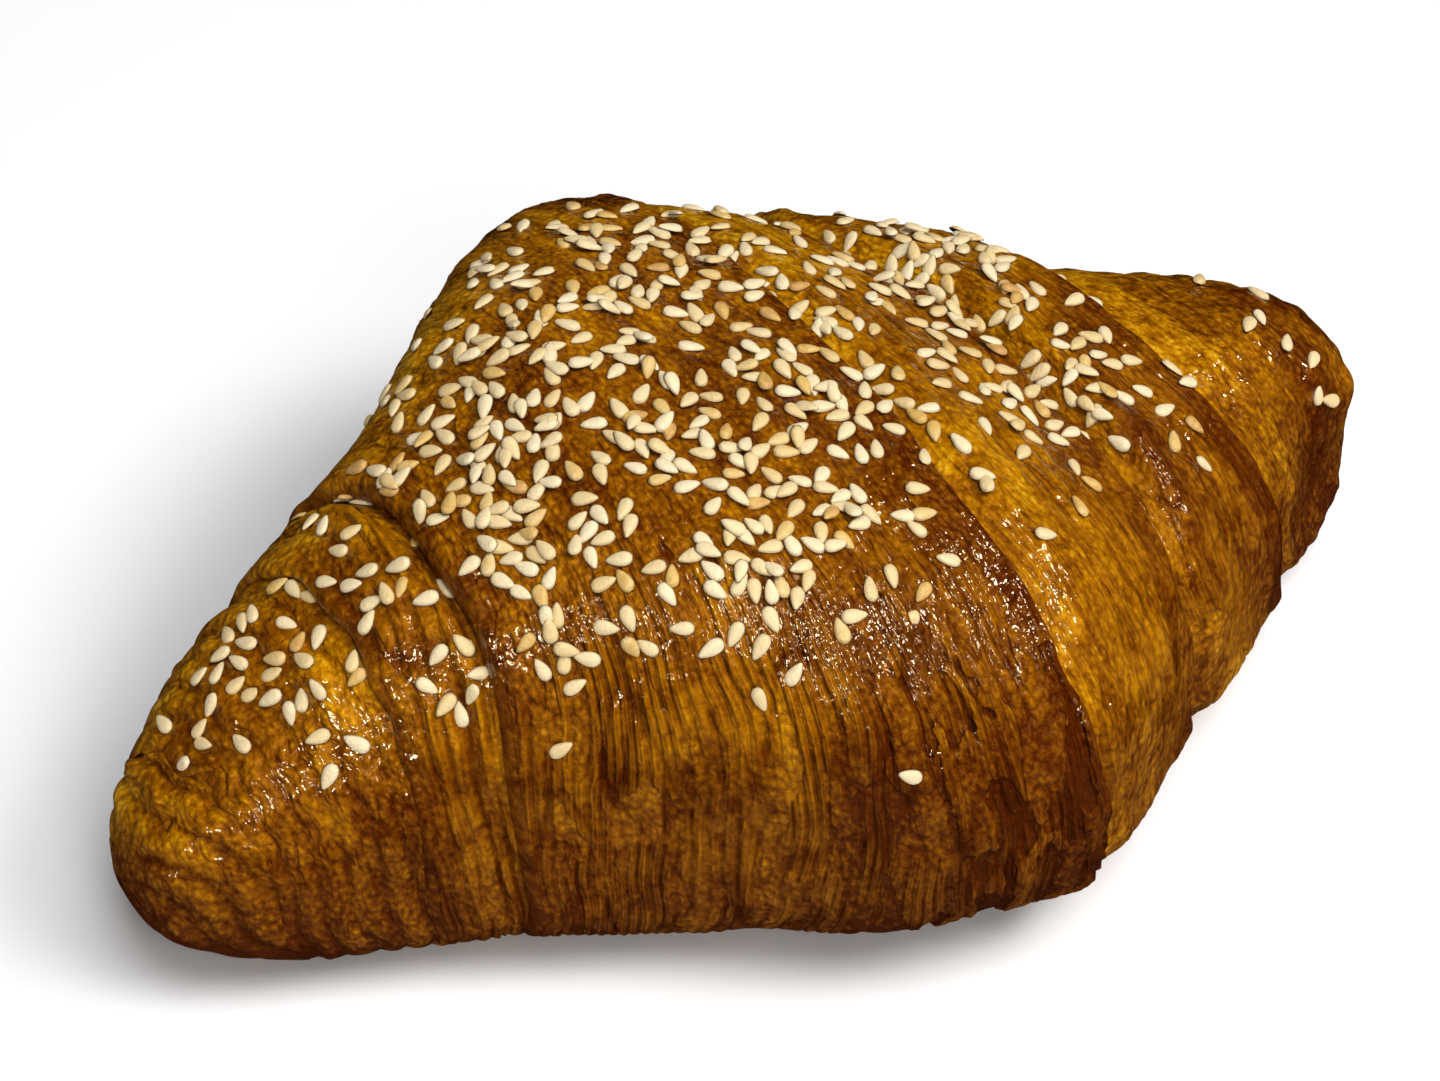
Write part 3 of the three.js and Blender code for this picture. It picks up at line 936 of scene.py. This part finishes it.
def crust_material():
    n = Nodes("crust")
    tone, glaze, flaky = n.parts(n.attribute("finish"))
    ridge_count, thread_count, plate = n.parts(n.attribute("layers"))
    peel, film_edge, _ = n.parts(n.attribute("film"))
    wrap = n.attribute("wrap")
    spot = n.object_place()

    ridge = n.math("POWER", n.waves(ridge_count), 0.8)
    thread = n.waves(thread_count)
    fibre = n.noise(n.scaled(wrap, 0.6, 4.5, 4.5), 3.0, 0.6)
    mottle = n.noise(n.scaled(spot, 0.0032), 4.0, 0.65)
    speck = n.noise(n.scaled(spot, 0.0007), 2.0, 0.6)
    grain = n.cells(n.scaled(wrap, 0.9, 1.3, 1.3), 0.15)
    crease = n.line(n.noise(n.scaled(wrap, 4.5, 14, 14), 3.0, 0.55), 0.5, 22.0)
    step, border = n.between(plate, -0.035, 0.035), n.line(plate, -0.05, 14.0)
    film, film_border = n.between(film_edge, -0.02, 0.02), n.line(film_edge, -0.03, 22.0)

    # The film hides the layers, and the layers hide the finer spots.
    flaky = n.times(flaky, n.minus(1.0, n.times(film, 0.85)))
    calm = n.minus(1.0, n.times(flaky, 0.65))
    patchy = n.between(n.noise(n.scaled(wrap, 5.0, 12.0, 12.0)), 0.3, 0.62)
    # Crests are lighter and the sunken gaps, creases and cell edges darker: partly the dough's colour,
    # partly painted shade.
    total = n.sum(
        n.sum(tone, 0.07),
        n.around(ridge, 0.62, 0.24, n.times(flaky, patchy)),
        n.around(thread, 0.64, 0.15, flaky),
        n.around(fibre, 0.5, 0.36, n.sum(flaky, 0.15)),
        n.around(mottle, 0.5, 0.5, calm),
        n.around(speck, 0.5, 0.8, calm),
        n.around(grain, 0.42, -0.5, calm),
        n.times(crease, -0.16),
        n.times(film, 0.06),
        n.times(film_border, -0.05),
        n.around(step, 0.5, 0.2, peel),
        n.times(border, peel, -0.2),
    )
    layers = n.sum(
        n.times(ridge, 0.34, flaky),
        n.times(thread, 0.12, flaky),
        n.times(fibre, 0.18, n.sum(flaky, 0.2)),
        n.times(step, 0.5, peel),
        n.times(grain, calm, -0.45),
        n.times(speck, 0.25),
        n.times(crease, -0.2),
        n.times(film, 0.25),
    )

    # The glaze is foam: small bubbles on soft swells. It lies over the layers, and shines by itself.
    bubble = n.cells(n.scaled(spot, 0.0014), 0.2)
    swell = n.noise(n.scaled(spot, 0.0019))
    foam = n.sum(n.times(bubble, bubble, -0.3), n.times(swell, 0.36))
    foam = n.times(foam, n.sum(n.times(glaze, 0.94), 0.06))
    n.shade(
        Base_Color=n.ramp(total, CRUST_COLOURS),
        Normal=n.bump(foam, FOAM_BUMP, n.bump(layers, LAYER_BUMP)),
        Roughness=n.minus(n.sum(0.38, n.times(mottle, 0.1)), n.times(glaze, 0.2)),
        Metallic=0.05,
        Specular_IOR_Level=0.18,
        Specular_Tint=(1, 0.62, 0.2, 1),
        Coat_Weight=glaze,
        Coat_Normal=n.bump(foam, FOAM_BUMP),
        Coat_Roughness=0.08,
        Coat_IOR=1.5,
    )
    return n.material


def seed_material():
    n = Nodes("sesame")
    tint, depth, _ = n.parts(n.attribute("seed"))
    spot = n.object_place()
    mottle = n.noise(n.scaled(spot, 0.0012), 3.0, 0.6)
    grain = n.noise(n.scaled(spot, 0.0004))
    # Painted shade: the lowest part of each seed takes the dark foot colour, partly browned glaze and
    # partly painted contact shadow.
    low = n.math("MULTIPLY", n.minus(0.44, depth), 9.0, True)
    foot = n.add("Mix", {0: low}, data_type="RGBA")
    n.set(foot.inputs[6], n.ramp(n.sum(tint, n.around(mottle, 0.5, 0.35)), SEED_COLOURS))
    foot.inputs[7].default_value = SEED_FOOT_GLAZE_AND_SHADE_COLOUR
    n.shade(
        Base_Color=foot.outputs[2],
        Normal=n.bump(grain, 0.00012),
        Roughness=n.sum(0.38, n.times(mottle, 0.2)),
    )
    return n.material


# ---- Stage ----


def make_floor():
    n = Nodes("floor")
    n.shade(Base_Color=FLOOR_COLOUR, Roughness=0.7)
    mesh = bpy.data.meshes.new("floor")
    corners = [(-1, -1), (1, -1), (1, 1), (-1, 1)]
    points = [(x * FLOOR_REACH, y * FLOOR_REACH, FLOOR_LEVEL) for x, y in corners]
    mesh.from_pydata(points, [], [(0, 1, 2, 3)])
    mesh.materials.append(n.material)
    floor = bpy.data.objects.new("floor", mesh)
    bpy.context.collection.objects.link(floor)
    # A white floor seen in the glaze would lay a grey haze on the brown crust.
    floor.visible_glossy = False


def aim(thing, place, target):
    thing.location = place
    thing.rotation_euler = (Vector(target) - Vector(place)).to_track_quat("-Z", "Y").to_euler()


def add_lamp(name, direction, distance, size, power, colour):
    light = bpy.data.lights.new(name, "AREA")
    light.shape = "DISK"
    light.size = size
    light.energy = power
    light.color = colour
    lamp = bpy.data.objects.new(name, light)
    bpy.context.collection.objects.link(lamp)
    aim(lamp, Vector(direction).normalized() * distance, TARGET)
    return lamp


def make_lights():
    world = bpy.data.worlds.new("studio")
    world.use_nodes = True
    background = world.node_tree.nodes["Background"].inputs
    background["Color"].default_value = (1, 1, 1, 1)
    background["Strength"].default_value = WORLD_LIGHT
    bpy.context.scene.world = world
    world.cycles_visibility.glossy = False
    for lamp in SOFT_LAMPS:
        add_lamp(*lamp).visible_glossy = False
    for lamp in GLINT_LAMPS:
        add_lamp(*lamp).visible_diffuse = False


def make_camera():
    """Looks down on the front from the blunt end's side, at the photograph's angle."""
    level = math.cos(CAMERA_ELEVATION)
    across, behind = math.sin(CAMERA_AZIMUTH) * level, -math.cos(CAMERA_AZIMUTH) * level
    back = Vector((across, behind, math.sin(CAMERA_ELEVATION)))
    camera = bpy.data.cameras.new("camera")
    camera.lens = CAMERA_LENS
    camera.shift_x = CAMERA_SHIFT
    camera.clip_end = 20
    eye = bpy.data.objects.new("camera", camera)
    bpy.context.collection.objects.link(eye)
    aim(eye, Vector(TARGET) + back * CAMERA_DISTANCE, TARGET)
    bpy.context.scene.camera = eye


make_camera()
make_lights()
make_floor()
bpy.context.scene.view_settings.view_transform = "Standard"

crust_grid = crust_layout()
add_positions(crust_grid)
add_layers(crust_grid)
add_glaze(crust_grid)
add_relief(crust_grid)
add_tone(crust_grid)
move_to_frame(crust_grid)
make_crust(crust_grid, crust_material())
make_seeds(crust_grid, seed_material())
